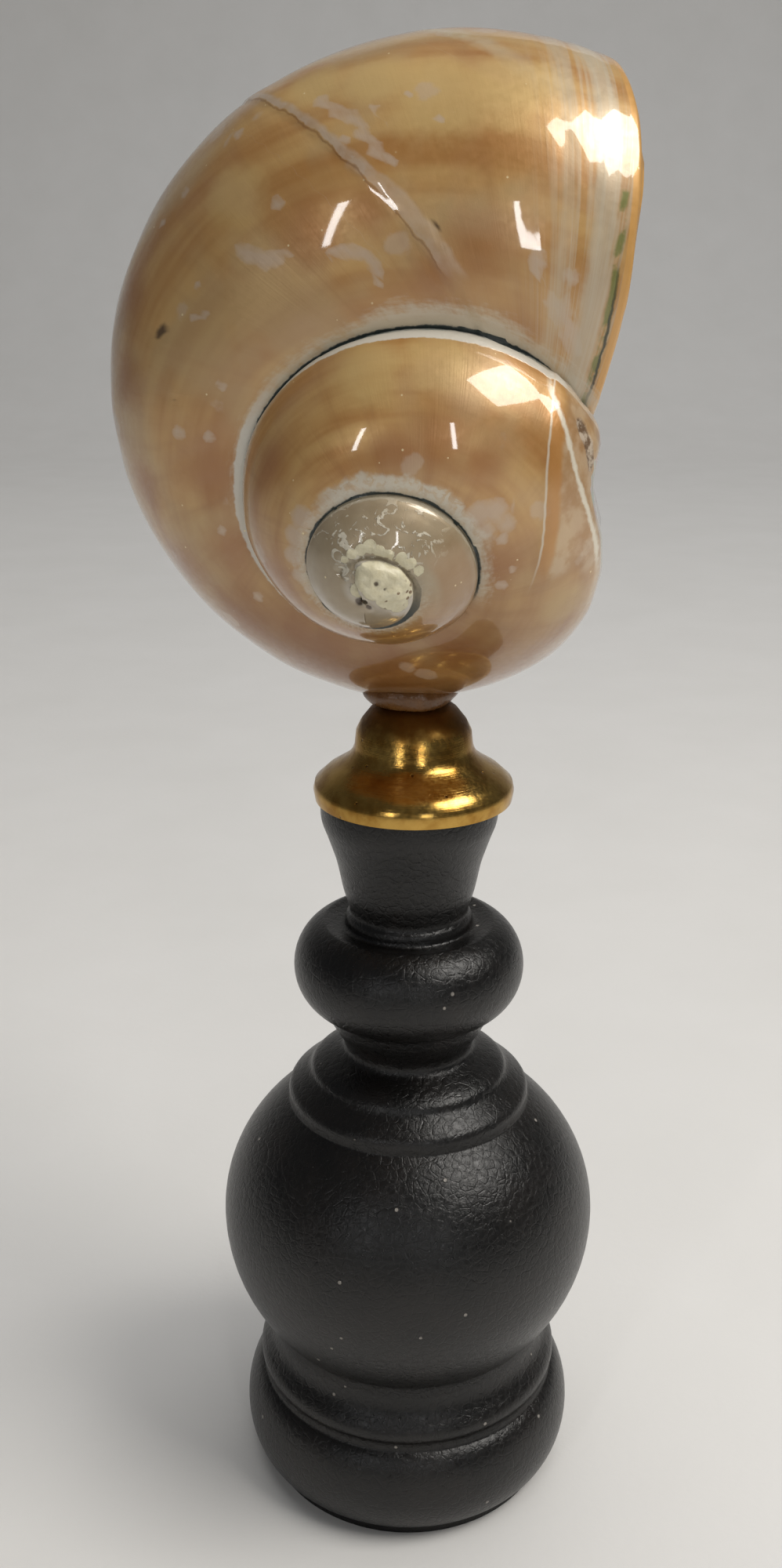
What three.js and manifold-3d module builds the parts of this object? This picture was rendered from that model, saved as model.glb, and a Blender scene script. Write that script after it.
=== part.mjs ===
// A polished turban shell glued to a brass cap on a turned, black painted wooden stand.
// Millimetres, +Z up. The origin is the centre of the stand's foot, on the table.
import * as THREE from "three";
import { mergeVertices } from "three/addons/utils/BufferGeometryUtils.js";
import Module from "manifold-3d";

const wasm = await Module();
wasm.setup();

const TURN = 2 * Math.PI;

// The stand, turned from one piece of wood.
const FOOT_RADIUS = 19.3;
const BASE_RADIUS = 22;
const GROOVE_Z = 14.4;
const BALL_Z = 37.4;
const BALL_RADIUS = 24.2;
const RING_RADIUS = 15.4;
const RING_Z = 53.6;
const NECK_RADIUS = 8.2;
const BEAD_Z = 72.4;
const BEAD_RADIUS = 14.4;
const COLLAR_RADIUS = 7.9;
const SOCKET_Z = 91.8;
const SOCKET_RADIUS = 10.8;
const TENON_RADIUS = 6.2;
const TENON_TOP = 103;

// The brass cap, pressed over the top of the stand a little off its centre.
const CAP_SHIFT = 0.5;
const CAP_BOTTOM = 94.4;
const CAP_RADIUS = 12.1;
const CAP_TOP = 106.3;
const CAP_BARREL_RADIUS = 6.9;
const BRASS_THICKNESS = 0.8;
const GAP = 0.3;

// The glue between the cap and the shell.
const GLUE_RADIUS = 5.4;
const GLUE_TOP = 109;

// The shell is an oval that grows as it turns about a tilted axis through the apex.
// An angle of 0 is one where the suture reaches the lip, and older parts are negative.
const APEX = new THREE.Vector3(-4.8, -26.6, 124.1);
const AXIS_DOWN = THREE.MathUtils.degToRad(22.9);
const AXIS_LEFT = THREE.MathUtils.degToRad(11.5);
const LIP_PHASE = THREE.MathUtils.degToRad(41.8);
const WHORL_OFFSET = { size: 21.8, rate: 0.0844, slowing: -0.014 };
const WHORL_DROP = { size: 40, rate: 0.1042, slowing: -0.001 };
const WHORL_WIDTH = { size: 21.5, rate: 0.0532, slowing: -0.0013 };
const OVAL = 0.9;
const OVAL_TILT = THREE.MathUtils.degToRad(-21);
const FIRST_ANGLE = -3 * TURN;
const LAST_ANGLE = 0.1 * TURN;
const WALL = 2.2;
const LIP_WALL = 1;
const CORE = 0.4;

// The mouth lies in one plane, given by a point and the direction that it faces.
const MOUTH_POINT = new THREE.Vector3(21, -18, 155);
const MOUTH_NORMAL = new THREE.Vector3(1, 0.25, -0.14).normalize();
const LIP_SOFTNESS = THREE.MathUtils.degToRad(9);

// The mouth's edge on the older whorl, as points across and up, measured at one depth.
// Beyond it that whorl is worn away, on a face that slants and then bends out to the back.
const EDGE_LINE = [
  [6.5, 165],
  [15.4, 139.9],
  [18.2, 132],
  [19.4, 128],
  [19.7, 124],
  [18.8, 119],
  [16, 113],
];
const EDGE_DEPTH = -19.8;
const EDGE_SLANT = 0.1;
const EDGE_BEND = 0.006;
const EDGE_BEND_START = 12;
const EDGE_SOFTNESS = 0.6;
const WORN_BEFORE = -0.6 * TURN;

// The pillar round which the whorls turn, wide at the shell's base and narrow at the apex.
const PILLAR_RADIUS = 1;
const PILLAR_SPREAD = 0.0029;
const PILLAR_SOFTNESS = 1.2;

// A thin rod fills the line of the axis, up to which the whorls reach.
const ROD_RADIUS = 0.9;
const ROD_TOP = -1.6;
const ROD_BOTTOM = -34;

const SIDES = 22;
const STEPS_PER_TURN = 24;
const LATHE_SIDES = 24;

const material = (color, roughness, metalness = 0) =>
  new THREE.MeshStandardMaterial({ color, roughness, metalness });

// A closed geometry as a solid that can be joined and cut.
function solidOf(geometry) {
  const bare = geometry.clone();
  bare.deleteAttribute("normal");
  bare.deleteAttribute("uv");
  const merged = mergeVertices(bare, 1e-4);
  return new wasm.Manifold(
    new wasm.Mesh({
      numProp: 3,
      vertProperties: merged.attributes.position.array,
      triVerts: new Uint32Array(merged.index.array),
    }),
  );
}

function geometryOf(solid) {
  const mesh = solid.getMesh();
  const geometry = new THREE.BufferGeometry();
  geometry.setAttribute("position", new THREE.BufferAttribute(mesh.vertProperties, 3));
  geometry.setIndex(new THREE.BufferAttribute(mesh.triVerts, 1));
  geometry.computeVertexNormals();
  return geometry;
}

// A body of revolution about +Z, from points of radius and height that run upwards.
function turned(points) {
  const profile = points.map(([radius, height]) => new THREE.Vector2(radius, height));
  return new THREE.LatheGeometry(profile, LATHE_SIDES).rotateX(Math.PI / 2);
}

// Points on an arc of an ellipse about the axis, from one angle to another in degrees.
function arc(radius, height, width, rise, from, to, count) {
  const points = [];
  for (let i = 0; i <= count; i++) {
    const angle = THREE.MathUtils.degToRad(from + ((to - from) * i) / count);
    points.push([radius + width * Math.cos(angle), height + rise * Math.sin(angle)]);
  }
  return points;
}

function standGeometry() {
  return turned([
    [0, 0],
    [FOOT_RADIUS, 0],
    [FOOT_RADIUS, 0.9],
    ...arc(FOOT_RADIUS - 0.6, 7.3, BASE_RADIUS - FOOT_RADIUS + 0.6, 6.2, -80, 75, 7),
    [FOOT_RADIUS + 0.2, GROOVE_Z],
    [FOOT_RADIUS + 0.7, GROOVE_Z + 0.8],
    [FOOT_RADIUS + 0.6, GROOVE_Z + 2],
    [FOOT_RADIUS - 0.9, GROOVE_Z + 3.8],
    [FOOT_RADIUS - 1.3, GROOVE_Z + 5.6],
    ...arc(0, BALL_Z, BALL_RADIUS, 23.5, -40, 0, 5),
    ...arc(0, BALL_Z, BALL_RADIUS, 21.2, 9, 50.5, 5),
    [RING_RADIUS, RING_Z + 0.4],
    [RING_RADIUS, RING_Z + 2],
    [12.6, 57.6],
    [12.3, 58.6],
    [10.6, 59.6],
    [NECK_RADIUS, 60.6],
    [NECK_RADIUS, 62],
    [9.8, 64.6],
    ...arc(BEAD_RADIUS - 5.4, BEAD_Z, 5.4, 6, -72, 75, 8),
    [COLLAR_RADIUS, BEAD_Z + 5.2],
    [COLLAR_RADIUS, BEAD_Z + 6.6],
    [COLLAR_RADIUS - 0.7, BEAD_Z + 7.3],
    [8.1, 82.4],
    [8.9, 86.4],
    [9.9, 89.4],
    [SOCKET_RADIUS, SOCKET_Z],
    [SOCKET_RADIUS, CAP_BOTTOM + 0.4],
    [TENON_RADIUS, 97],
    [TENON_RADIUS - 0.6, TENON_TOP],
    [0, TENON_TOP],
  ]);
}

function capGeometry() {
  const inner = BRASS_THICKNESS + 0.1;
  return turned([
    [SOCKET_RADIUS + 0.5, CAP_BOTTOM],
    [CAP_RADIUS - 0.2, CAP_BOTTOM],
    [CAP_RADIUS, CAP_BOTTOM + 1.2],
    [CAP_RADIUS - 0.2, CAP_BOTTOM + 2.1],
    [10.6, 97.7],
    [9, 98.7],
    [7.9, 99.5],
    [CAP_BARREL_RADIUS + 0.5, 100.2],
    [CAP_BARREL_RADIUS + 0.2, 101],
    [CAP_BARREL_RADIUS, 102.8],
    [6.3, 104],
    [5.2, 105.4],
    [4, CAP_TOP],
    [0, CAP_TOP],
    [0, TENON_TOP + 1],
    [CAP_BARREL_RADIUS - inner + 0.4, TENON_TOP],
    [CAP_BARREL_RADIUS - inner + 0.7, 99.4],
    [9.6, 97.3],
    [SOCKET_RADIUS + 0.5, CAP_BOTTOM + 1.4],
    [SOCKET_RADIUS + 0.5, CAP_BOTTOM],
  ]);
}

// The shell's own directions: along the axis to the apex, to the right and up.
const toApex = new THREE.Vector3(
  -Math.sin(AXIS_LEFT) * Math.cos(AXIS_DOWN),
  -Math.cos(AXIS_LEFT) * Math.cos(AXIS_DOWN),
  -Math.sin(AXIS_DOWN),
);
const toRight = new THREE.Vector3(0, 0, 1).cross(toApex).normalize();
const toTop = new THREE.Vector3().crossVectors(toApex, toRight);

const grown = ({ size, rate, slowing }, angle) =>
  size * Math.exp(rate * angle + slowing * angle * angle);

// A point of the shell from its growth angle, its distance from the axis and its height on it.
function shellPoint(angle, radius, height) {
  const around = LIP_PHASE - angle;
  return APEX.clone()
    .addScaledVector(toRight, radius * Math.cos(around))
    .addScaledVector(toTop, radius * Math.sin(around))
    .addScaledVector(toApex, height);
}

// A hollow keeps clear of the pillar, which widens with the depth below the apex.
function clearOfPillar(radius, height) {
  const pillar = PILLAR_RADIUS + PILLAR_SPREAD * height * height;
  return pillar + PILLAR_SOFTNESS * Math.log1p(Math.exp((radius - pillar) / PILLAR_SOFTNESS));
}

// How far beyond the mouth's edge a point lies, across.
function beyondEdge({ x, y, z }) {
  const below = EDGE_LINE.findIndex(([, up]) => up <= z);
  const next = below < 0 ? EDGE_LINE.length - 1 : Math.max(1, below);
  const [[fromX, fromZ], [toX, toZ]] = EDGE_LINE.slice(next - 1, next + 1);
  const edge = THREE.MathUtils.mapLinear(THREE.MathUtils.clamp(z, toZ, fromZ), fromZ, toZ, fromX, toX);
  const depth = y - EDGE_DEPTH;
  const bend = EDGE_BEND * Math.max(depth - EDGE_BEND_START, 0) ** 2;
  return x - edge - EDGE_SLANT * depth - bend;
}

// A point of a whorl's oval section, at a turn round the oval, drawn in by an inset.
function whorlPoint(angle, turn, inset, hollow) {
  const across = (grown(WHORL_WIDTH, angle) - inset) * Math.cos(turn);
  const along = (grown(WHORL_WIDTH, angle) * OVAL - inset) * Math.sin(turn);
  const radius =
    grown(WHORL_OFFSET, angle) + across * Math.cos(OVAL_TILT) - along * Math.sin(OVAL_TILT);
  const height =
    across * Math.sin(OVAL_TILT) + along * Math.cos(OVAL_TILT) - grown(WHORL_DROP, angle);
  const kept = hollow ? clearOfPillar(radius, height) : Math.max(radius, CORE);
  const point = shellPoint(angle, kept, height);
  if (angle < WORN_BEFORE) {
    const beyond = (beyondEdge(point) + inset) / EDGE_SOFTNESS;
    point.x -= EDGE_SOFTNESS * Math.log1p(Math.exp(beyond));
  }
  return point;
}

// The growth angle at which one side of the last whorl meets the mouth's plane.
function planeAngle(turn) {
  const step = 0.01;
  for (let angle = -2; angle < LAST_ANGLE; angle += step) {
    const offset = whorlPoint(angle, turn, 0, false).sub(MOUTH_POINT);
    if (offset.dot(MOUTH_NORMAL) > 0) return angle;
  }
  return LAST_ANGLE;
}

// The same, evened out round the mouth, so that the lip bends smoothly into the pillar.
function lipAngle(turn) {
  let sum = 0;
  let weights = 0;
  for (let i = -9; i <= 9; i++) {
    const weight = Math.exp(-(i * i) / 18);
    sum += weight * planeAngle(turn + (i * LIP_SOFTNESS) / 3);
    weights += weight;
  }
  return Math.min(sum / weights, planeAngle(turn) + 0.04);
}

// A closed stretch of whorl from one growth angle to another, which may differ round the oval.
function whorl(from, to, { inset = () => 0, hollow = false, down = 0 } = {}) {
  const ends = [];
  for (let j = 0; j < SIDES; j++) ends.push(typeof to === "function" ? to((TURN * j) / SIDES) : to);
  const steps = Math.max(2, Math.round(((Math.max(...ends) - from) / TURN) * STEPS_PER_TURN));
  const points = [];
  for (let i = 0; i <= steps; i++)
    for (let j = 0; j < SIDES; j++) {
      const angle = from + ((ends[j] - from) * i) / steps;
      const point = whorlPoint(angle, (TURN * j) / SIDES, inset(angle), hollow);
      point.z -= down;
      points.push(point);
    }
  const faces = [];
  for (let i = 0; i < steps; i++)
    for (let j = 0; j < SIDES; j++) {
      const a = i * SIDES + j;
      const b = i * SIDES + ((j + 1) % SIDES);
      faces.push(a, b, b + SIDES, a, b + SIDES, a + SIDES);
    }
  const last = steps * SIDES;
  const middle = SIDES / 2;
  for (let j = 1; j < SIDES - 1; j++) {
    faces.push(middle, (middle + j + 1) % SIDES, (middle + j) % SIDES);
    faces.push(last + middle, last + ((middle + j) % SIDES), last + ((middle + j + 1) % SIDES));
  }
  const geometry = new THREE.BufferGeometry().setFromPoints(points);
  geometry.setIndex(faces);
  return solidOf(geometry);
}

// The solid whorls from the apex on, joined from stretches of under a turn that lie on each other.
function oldWhorls(to) {
  const count = Math.ceil((to - FIRST_ANGLE) / (0.8 * TURN));
  let joined = null;
  for (let i = 0; i < count; i++) {
    const start = FIRST_ANGLE + ((to - FIRST_ANGLE) * i) / count;
    const end = FIRST_ANGLE + ((to - FIRST_ANGLE) * (i + 1)) / count;
    const piece = whorl(start, end);
    joined = joined ? joined.add(piece) : piece;
  }
  return joined;
}

function axisRod() {
  const rod = turned([
    [0, ROD_BOTTOM],
    [ROD_RADIUS, ROD_BOTTOM],
    [ROD_RADIUS, ROD_TOP],
    [0, ROD_TOP],
  ]);
  const frame = new THREE.Matrix4().makeBasis(toRight, toTop, toApex).setPosition(APEX);
  return solidOf(rod.applyMatrix4(frame));
}

function shellGeometry() {
  const newestStart = -0.6 * TURN;
  const chamberStart = -0.8 * TURN;
  const hollowStart = -1.5 * TURN;
  const thin = (angle) =>
    THREE.MathUtils.mapLinear(THREE.MathUtils.clamp(angle, -1.2, 0.4), -1.2, 0.4, WALL, LIP_WALL);
  const beyondLip = (turn) => lipAngle(turn) + 0.3;
  const newest = whorl(newestStart, lipAngle);
  const chamber = whorl(chamberStart, beyondLip, { inset: thin, hollow: true });
  const deeper = whorl(hollowStart, chamberStart + 0.3, { inset: () => WALL, hollow: true });
  return geometryOf(
    oldWhorls(newestStart)
      .add(newest)
      .subtract(chamber.subtract(oldWhorls(chamberStart)))
      .subtract(deeper.subtract(oldWhorls(hollowStart)))
      .add(axisRod()),
  );
}

// The glue fills the space between the cap's top and the underside of the shell.
function glueGeometry() {
  const drop = turned([
    [0, CAP_TOP + GAP],
    [GLUE_RADIUS - 1.6, CAP_TOP + GAP],
    [GLUE_RADIUS - 0.4, CAP_TOP + GAP + 0.3],
    [GLUE_RADIUS, CAP_TOP + GAP + 0.9],
    [GLUE_RADIUS - 0.2, GLUE_TOP],
    [0, GLUE_TOP],
  ]).translate(CAP_SHIFT, 0, 0);
  const above = whorl(-0.85 * TURN, -0.45 * TURN, { down: GAP });
  return geometryOf(solidOf(drop).subtract(above));
}

const pieces = {
  stand: new THREE.Mesh(standGeometry(), material(0x1b1918, 0.5)),
  cap: new THREE.Mesh(capGeometry(), material(0xc99a3c, 0.28, 1)),
  glue: new THREE.Mesh(glueGeometry(), material(0x6b4a24, 0.4)),
  shell: new THREE.Mesh(shellGeometry(), material(0xc29a66, 0.16)),
};
pieces.cap.position.x = CAP_SHIFT;

const shellOnStand = new THREE.Group();
for (const [name, mesh] of Object.entries(pieces)) {
  mesh.name = name;
  shellOnStand.add(mesh);
}

export default shellOnStand;
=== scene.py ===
# A polished turban shell glued to a brass cap on a turned black stand, with its finish.
# Shapes are worked out in millimetres and made in metres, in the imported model's frame.
import math
from types import SimpleNamespace

import bpy
import numpy as np
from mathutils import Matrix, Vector


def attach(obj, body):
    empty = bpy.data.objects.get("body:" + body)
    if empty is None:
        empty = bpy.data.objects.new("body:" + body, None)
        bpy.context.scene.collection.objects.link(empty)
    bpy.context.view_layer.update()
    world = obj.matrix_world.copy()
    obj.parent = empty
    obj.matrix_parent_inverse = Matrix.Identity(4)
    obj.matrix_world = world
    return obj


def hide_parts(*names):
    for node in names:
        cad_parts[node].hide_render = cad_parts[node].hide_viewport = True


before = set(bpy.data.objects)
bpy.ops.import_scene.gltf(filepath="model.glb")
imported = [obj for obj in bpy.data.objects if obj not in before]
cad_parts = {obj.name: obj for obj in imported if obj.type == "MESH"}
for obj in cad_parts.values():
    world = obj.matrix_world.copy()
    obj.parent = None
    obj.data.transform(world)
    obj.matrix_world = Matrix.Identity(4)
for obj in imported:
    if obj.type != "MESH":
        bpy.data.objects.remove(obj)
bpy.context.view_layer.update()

MM = 0.001
TURN = 2 * math.pi

# The photograph's frame and the camera that took it.
PHOTO_WIDTH = 998
PHOTO_HEIGHT = 2000
FOCAL_PIXELS = 1900
CAMERA_POSITION = np.array([-2.23, -170.09, 154.43])
CAMERA_PITCH = math.radians(19)
SENSOR_HEIGHT = 36

# The stand, turned from one piece of wood.
FOOT_RADIUS = 19.3
BASE_RADIUS = 22
GROOVE_Z = 14.4
BALL_Z = 37.4
BALL_RADIUS = 24.2
RING_RADIUS = 15.4
RING_Z = 53.6
NECK_RADIUS = 8.2
BEAD_Z = 72.4
BEAD_RADIUS = 14.4
COLLAR_RADIUS = 7.9
SOCKET_Z = 91.8
SOCKET_RADIUS = 10.8
TENON_RADIUS = 6.2
TENON_TOP = 103

# The brass cap, a little off the stand's centre, and the glue on it.
CAP_SHIFT = 0.5
CAP_BOTTOM = 94.4
CAP_RADIUS = 12.1
CAP_TOP = 106.3
CAP_BARREL_RADIUS = 6.9
BRASS_THICKNESS = 0.8
GLUE_RADIUS = 5.4
GLUE_TOP = 109
GAP = 0.3

# The shell is an oval that grows as it turns about a tilted axis through the apex.
# An angle of 0 is one where the suture reaches the lip, and older parts are negative.
# Each growth law holds a size at that angle, a rate of growth and how that rate slows.
APEX = np.array([-4.8, -26.6, 124.1])
AXIS_DOWN = math.radians(22.9)
AXIS_LEFT = math.radians(11.5)
LIP_PHASE = math.radians(41.8)
WHORL_OFFSET = (21.8, 0.0844, -0.014)
WHORL_DROP = (40, 0.1042, -0.001)
WHORL_WIDTH = (21.5, 0.0532, -0.0013)
OVAL = 0.9
OVAL_TILT = math.radians(-21)
FIRST_ANGLE = -3.28 * TURN
LAST_ANGLE = 0.1 * TURN
JOINT_ANGLE = -0.62 * TURN
HOLLOW_ANGLE = -0.82 * TURN
WALL = 2.2
LIP_WALL = 1.3
THINNING = 14
CORE = 0.4
NEAR_AXIS = 4
MOUTH_POINT = np.array([21, -18, 155])
MOUTH_NORMAL = np.array([1, 0.25, -0.14]) / np.linalg.norm([1, 0.25, -0.14])

# The pillar round which the whorls turn, and the thin rod that fills its middle.
PILLAR_RADIUS = 1
PILLAR_SPREAD = 0.0029
PILLAR_SOFTNESS = 1.2
ROD_RADIUS = 0.9
ROD_TOP = -1.6
ROD_BOTTOM = -34

# The mouth's edge on the older whorl, as points across and up, measured at one depth.
# Beyond it that whorl is worn away, on a face that slants and then bends out to the back.
EDGE_ACROSS = (6.5, 15.4, 18.2, 19.4, 19.7, 18.8, 16)
EDGE_UP = (165, 139.9, 132, 128, 124, 119, 113)
EDGE_DEPTH = -19.8
EDGE_SLANT = 0.1
EDGE_BEND = 0.006
EDGE_BEND_START = 12
EDGE_SOFTNESS = 0.6
WORN_BEFORE = -0.6 * TURN

# The rough corner of the mouth stands out again from that face, at the front.
CORNER_UP = 139.5
CORNER_HEIGHT = 4.3
CORNER_SWELL = 3.3
CORNER_FRONT = -16
CORNER_BACK = -6

# The first whorl tapers from before its start to beyond it, by a share of its width.
TAPER_BEFORE = 0.4
TAPER = 0.8
TAPER_SHARE = 0.9

# How deep the inner side of the wall lies, give or take, and the oldest one that counts.
INNER_DEPTH = 1.75
INNER_SPREAD = 0.5
OLDEST_INSIDE = -1.4 * TURN

# Growth lines run nearly along the lip, spaced by this many millimetres for a radian of growth.
LINE_LEAN = 0.8
LINE_LENGTH = 36

# A distance that counts as far from anything, in millimetres.
FAR = 60

# Two scars trail the lip. Each has the degrees it lies behind it, its lean across the whorl
# and the place on the section at which that holds, in degrees too.
SCAR_TRAIL = (53.6, 0.18, 32)
BAND_TRAIL = (26.7, 0.37, 14)

# The glaze beside the mouth: where its edge is across, and how it bends above and below.
CALLUS_EDGE = 13
CALLUS_ABOVE = (135, 0.01)
CALLUS_BELOW = (131, -0.02)
CALLUS_GROWTH = (-400, -290)
CALLUS_BOTTOM = 118
GLAZE_FADE = (123, 128.5)

# How far marks on the shell stand out from it or sink into it.
SUTURE_DEPTH = 0.34
SUTURE_WIDTH = 0.32
SUTURE_SWELL = 0.07
RIB_HEIGHT = 0.045
FINE_RIB_HEIGHT = 0.02
SCAR_STEPS = (("scar", 0.14), ("band", 0.05))
GLAZE_HEIGHT = 0.28

# Pale blotches on the shell, as pixels of the photograph: across, down and radius.
PALE_BLOTCHES = (
    (305, 318, 9), (320, 325, 14), (338, 332, 14), (354, 328, 12), (368, 322, 8),
    (423, 326, 8), (436, 321, 10), (450, 320, 11), (464, 326, 12), (477, 338, 11),
    (483, 352, 9), (484, 366, 7), (355, 259, 11),
    (410, 130, 12), (428, 142, 12), (448, 150, 13), (462, 168, 11), (440, 178, 8),
    (480, 190, 12), (500, 205, 9), (452, 205, 7), (478, 138, 9), (495, 160, 6),
    (386, 660, 17), (376, 684, 15), (374, 708, 15), (382, 734, 13), (394, 752, 9),
    (612, 655, 18), (632, 652, 20), (646, 668, 14), (640, 688, 10), (622, 676, 14),
    (688, 330, 13), (684, 345, 9), (728, 355, 14), (715, 395, 16), (728, 425, 15),
    (735, 450, 10), (700, 380, 10), (252, 365, 7), (260, 400, 8), (246, 405, 7),
    (282, 492, 9), (228, 552, 11), (267, 557, 9), (283, 676, 9), (330, 762, 10),
    (305, 172, 10), (236, 245, 9), (752, 695, 12), (738, 715, 9), (207, 285, 8),
    (640, 745, 9), (655, 725, 7), (560, 150, 8), (520, 120, 7), (346, 100, 7),
)

# Chalky places at the apex, deep amber and golden zones, and the rough corner of the mouth.
CHALK = (
    (440, 714, 6), (449, 707, 8), (460, 702, 9), (472, 698, 10), (484, 704, 9), (496, 708, 8),
    (512, 712, 9), (524, 719, 9), (534, 728, 8), (460, 735, 14), (476, 730, 20), (498, 738, 24),
    (458, 752, 12), (476, 752, 16), (500, 760, 22), (516, 752, 18), (510, 735, 16), (466, 744, 14),
    (512, 774, 12),
)
AMBER = (
    (605, 322, 55), (560, 345, 40), (395, 290, 60), (470, 270, 40), (560, 560, 60),
    (620, 590, 40), (345, 590, 40), (160, 480, 45), (170, 380, 40), (185, 620, 45),
    (235, 720, 50), (310, 790, 60), (640, 720, 50), (420, 820, 60), (510, 575, 45),
    (350, 730, 50), (380, 800, 60), (500, 850, 60), (300, 700, 50), (260, 600, 60),
    (580, 830, 45),
)
GOLD = (
    (560, 120, 75), (640, 110, 60), (480, 100, 50), (700, 100, 40), (470, 470, 60),
    (560, 455, 60), (400, 110, 40), (300, 250, 50), (720, 770, 40),
)
CORNER = ((742, 545, 14), (752, 565, 14), (757, 590, 12), (760, 610, 9))

# Pits in the shell's surface, in the same way, with their depth in millimetres last.
PITS = (
    (199, 427, 7, 0.2), (205, 422, 8, 0.25), (211, 417, 8, 0.2), (214, 412, 6, 0.15),
    (557, 291, 4, 0.3), (377, 151, 3, 0.2), (290, 505, 3, 0.15), (223, 509, 3, 0.15),
    (722, 683, 4, 0.25), (458, 768, 6, 0.35), (480, 745, 4, 0.25), (470, 776, 5, 0.3),
    (492, 752, 3, 0.2), (540, 270, 5, 0.12), (532, 262, 6, 0.12),
)

# How finely the shell is drawn, and how many waves make up an uneven surface.
SIDES = 128
CHAMBER_SIDES = 80
WAVES = 14
FINE_STEP = math.radians(1.4)
COARSE_STEP = math.radians(2.6)

TO_APEX = np.array([
    -math.sin(AXIS_LEFT) * math.cos(AXIS_DOWN),
    -math.cos(AXIS_LEFT) * math.cos(AXIS_DOWN),
    -math.sin(AXIS_DOWN),
])
TO_RIGHT = np.cross([0, 0, 1], TO_APEX) / np.linalg.norm(np.cross([0, 0, 1], TO_APEX))
TO_TOP = np.cross(TO_APEX, TO_RIGHT)


def smooth_step(value, low, high):
    share = np.clip((value - low) / (high - low), 0, 1)
    return share * share * (3 - 2 * share)


def waves(points, size, seed):
    """A smooth pattern from about -1 to 1, with bumps about that many millimetres across."""
    chance = np.random.default_rng(seed)
    total = np.zeros(len(points))
    for _ in range(WAVES):
        direction = chance.normal(size=3)
        direction /= np.linalg.norm(direction)
        length = size * chance.uniform(1.2, 2.8)
        total += np.sin(points @ direction * TURN / length + chance.uniform(0, TURN))
    return total / math.sqrt(WAVES)


# The shell's own geometry.
def grown(law, angle):
    size, rate, slowing = law
    return size * np.exp(rate * angle + slowing * angle * angle)


def section_point(angle, turn, inset=0.0):
    """Distance from the axis and height on it of a point of a whorl's section."""
    across = (grown(WHORL_WIDTH, angle) - inset) * np.cos(turn)
    along = (grown(WHORL_WIDTH, angle) * OVAL - inset) * np.sin(turn)
    radius = across * math.cos(OVAL_TILT) - along * math.sin(OVAL_TILT)
    height = across * math.sin(OVAL_TILT) + along * math.cos(OVAL_TILT)
    return grown(WHORL_OFFSET, angle) + radius, height - grown(WHORL_DROP, angle)


def in_section(angle, radius, height):
    """A point's direction in a whorl's section, and how far out it is: 1 on the surface."""
    outwards = radius - grown(WHORL_OFFSET, angle)
    upwards = height + grown(WHORL_DROP, angle)
    across = outwards * math.cos(OVAL_TILT) + upwards * math.sin(OVAL_TILT)
    along = upwards * math.cos(OVAL_TILT) - outwards * math.sin(OVAL_TILT)
    width = grown(WHORL_WIDTH, angle)
    turn = np.arctan2(along / (width * OVAL), across / width)
    return turn, np.hypot(across / width, along / (width * OVAL))


def shell_point(angle, radius, height):
    around = LIP_PHASE - angle
    return (
        APEX
        + (radius * np.cos(around))[..., None] * TO_RIGHT
        + (radius * np.sin(around))[..., None] * TO_TOP
        + height[..., None] * TO_APEX
    )


def beyond_edge(points):
    """How far points lie beyond the mouth's edge, across."""
    edge = np.interp(-points[..., 2], -np.array(EDGE_UP), EDGE_ACROSS)
    depth = points[..., 1] - EDGE_DEPTH
    bend = EDGE_BEND * np.maximum(depth - EDGE_BEND_START, 0) ** 2
    return points[..., 0] - edge - EDGE_SLANT * depth - bend


def worn_point(angle, radius, height, inset=0.0):
    """A point of the shell, kept behind the worn face where it belongs to an older whorl."""
    points = shell_point(angle, radius, height)
    swell = CORNER_SWELL * np.exp(-(((points[..., 2] - CORNER_UP) / CORNER_HEIGHT) ** 2))
    swell = swell * (1 - smooth_step(points[..., 1], CORNER_FRONT, CORNER_BACK))
    beyond = (beyond_edge(points) + inset - swell) / EDGE_SOFTNESS
    beyond = np.logaddexp(0, beyond) * EDGE_SOFTNESS
    points[..., 0] -= np.where(angle < WORN_BEFORE, beyond, 0)
    return points


def shell_coordinates(points):
    """Distance from the axis, height on it and angle round it of points."""
    offset = points - APEX
    right, top = offset @ TO_RIGHT, offset @ TO_TOP
    return np.hypot(right, top), offset @ TO_APEX, np.arctan2(top, right)


def lip_table():
    """Section angles round the mouth and the growth angle at which the whorl ends there."""
    turns = np.linspace(-math.pi, math.pi, 361)[:-1]
    angles = np.linspace(-2, LAST_ANGLE, 600)
    radius, height = section_point(angles[:, None], turns[None, :])
    points = shell_point(angles[:, None] + 0 * radius, np.maximum(radius, CORE), height)
    beyond = (points - MOUTH_POINT) @ MOUTH_NORMAL > 0
    reached = np.where(beyond.any(axis=0), angles[beyond.argmax(axis=0)], LAST_ANGLE)
    spread = np.exp(-0.5 * (np.arange(-30, 31) / 9) ** 2)
    padded = np.concatenate([reached[-30:], reached, reached[:30]])
    smoothed = np.convolve(padded, spread / spread.sum(), mode="valid")
    return turns, np.minimum(smoothed, reached + 0.04)


LIP_TURNS, LIP_ANGLES = lip_table()


def lip_angle(turn):
    return np.interp(turn, LIP_TURNS, LIP_ANGLES, period=TURN)


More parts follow.
